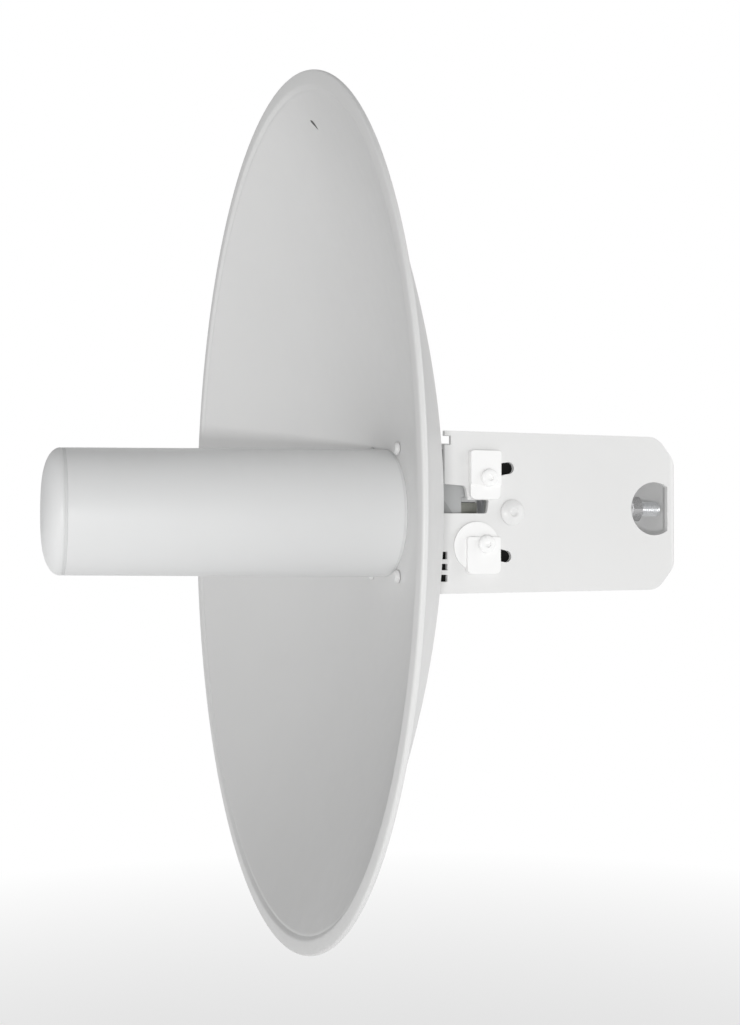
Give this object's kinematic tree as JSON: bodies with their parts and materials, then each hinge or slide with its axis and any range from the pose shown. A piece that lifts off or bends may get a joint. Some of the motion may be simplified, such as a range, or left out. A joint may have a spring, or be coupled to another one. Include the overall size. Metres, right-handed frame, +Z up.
{
  "type": "dish antenna",
  "caption": "White round dish antenna with a tubular radio feed through its centre, on a tilting hub and a pressed steel bracket that clamps to a mast.",
  "frame": {"origin": "on the mast's axis, level with the antenna's own axis", "axes": "+Z up along the mast, -Y the direction the antenna looks in, +X to the right seen from in front of the dish looking along +Y"},
  "size_m": [0.42, 0.3246, 0.42],
  "materials": {
    "white_dish_paint": "fine white powder coat on spun aluminium sheet",
    "white_bracket_paint": "white powder coat on pressed steel",
    "white_feed_plastic": "white UV stable plastic, satin",
    "grey_casting": "grey die casting, matt",
    "zinc_plate": "bright zinc plate",
    "stainless": "stainless steel",
    "latch_metal": "dark bead-blasted stainless",
    "grey_rubber": "silicone",
    "black_nylon": "black nylon",
    "bare_aluminium": "milled",
    "brass": "drawn tube",
    "dielectric": "natural cross-linked polystyrene",
    "circuit_board": "green solder mask",
    "thermal_pad": "soft silicone",
    "clear_plastic": "clear polycarbonate"
  },
  "bodies": {
    "bracket": {"pole_bracket": "white_bracket_paint", "front_jaw": "zinc_plate", "clamp_bolt_right": "zinc_plate", "clamp_bolt_left": "zinc_plate", "pivot_rivet_right": "white_bracket_paint", "pivot_rivet_left": "white_bracket_paint", "pivot_washer_right": "stainless", "pivot_washer_left": "stainless"},
    "clamp_jaw": {"rear_jaw": "zinc_plate", "clamp_washer_right": "stainless", "clamp_washer_left": "stainless", "clamp_nut_right": "stainless", "clamp_nut_left": "stainless"},
    "antenna": {"reflector_dish": "white_dish_paint", "lock_tab_upper_right": "white_bracket_paint", "lock_tab_upper_left": "white_bracket_paint", "lock_tab_lower_right": "white_bracket_paint", "lock_tab_lower_left": "white_bracket_paint", "lock_screw_upper_right": "white_bracket_paint", "lock_screw_upper_left": "white_bracket_paint", "lock_screw_lower_right": "white_bracket_paint", "lock_screw_lower_left": "white_bracket_paint", "hub_screw_1": "white_bracket_paint", "hub_screw_2": "white_bracket_paint", "hub_screw_3": "white_bracket_paint", "hub_screw_4": "white_bracket_paint", "feed_tube": "white_feed_plastic", "feed_cap": "white_feed_plastic", "rear_housing": "white_feed_plastic", "dish_hub": "grey_casting", "lock_nut_upper_right": "stainless", "lock_nut_upper_left": "stainless", "lock_nut_lower_right": "stainless", "lock_nut_lower_left": "stainless", "hub_nut_1": "stainless", "hub_nut_2": "stainless", "hub_nut_3": "stainless", "hub_nut_4": "stainless", "shield_can": "stainless", "port_cover_pin": "stainless", "ethernet_jack": "stainless", "cap_seal": "grey_rubber", "base_gasket": "grey_rubber", "friction_shim_right": "black_nylon", "friction_shim_left": "black_nylon", "reset_switch": "black_nylon", "sub_reflector": "bare_aluminium", "board_carrier": "bare_aluminium", "waveguide": "brass", "sub_reflector_support": "dielectric", "radio_board": "circuit_board", "thermal_pad": "thermal_pad", "light_pipe": "clear_plastic"},
    "port_door": {"port_cover": "white_feed_plastic"},
    "button": {"reset_button": "white_feed_plastic"},
    "latch": {"release_latch": "latch_metal", "latch_spring": "stainless"}
  },
  "joints": [
    {"name": "elevation", "type": "hinge", "parent": "bracket", "child": "antenna", "pos_m": [0, -0.04, 0], "axis": [1, 0, 0], "range_deg": [-15, 15]},
    {"name": "clamp_travel", "type": "slide", "parent": "bracket", "child": "clamp_jaw", "axis": [0, 1, 0], "range_m": [-0.005, 0.012]},
    {"name": "port_door_hinge", "type": "hinge", "parent": "antenna", "child": "port_door", "pos_m": [0, -0.0625, -0.0226], "axis": [1, 0, 0], "range_deg": [0, 90]},
    {"name": "reset_press", "type": "slide", "parent": "antenna", "child": "button", "axis": [0, -1, 0], "range_m": [0, 0.0007], "stiffness_N_per_m": 400},
    {"name": "latch_press", "type": "slide", "parent": "antenna", "child": "latch", "axis": [-1, 0, 0], "range_m": [0, 0.002], "stiffness_N_per_m": 900}
  ]
}
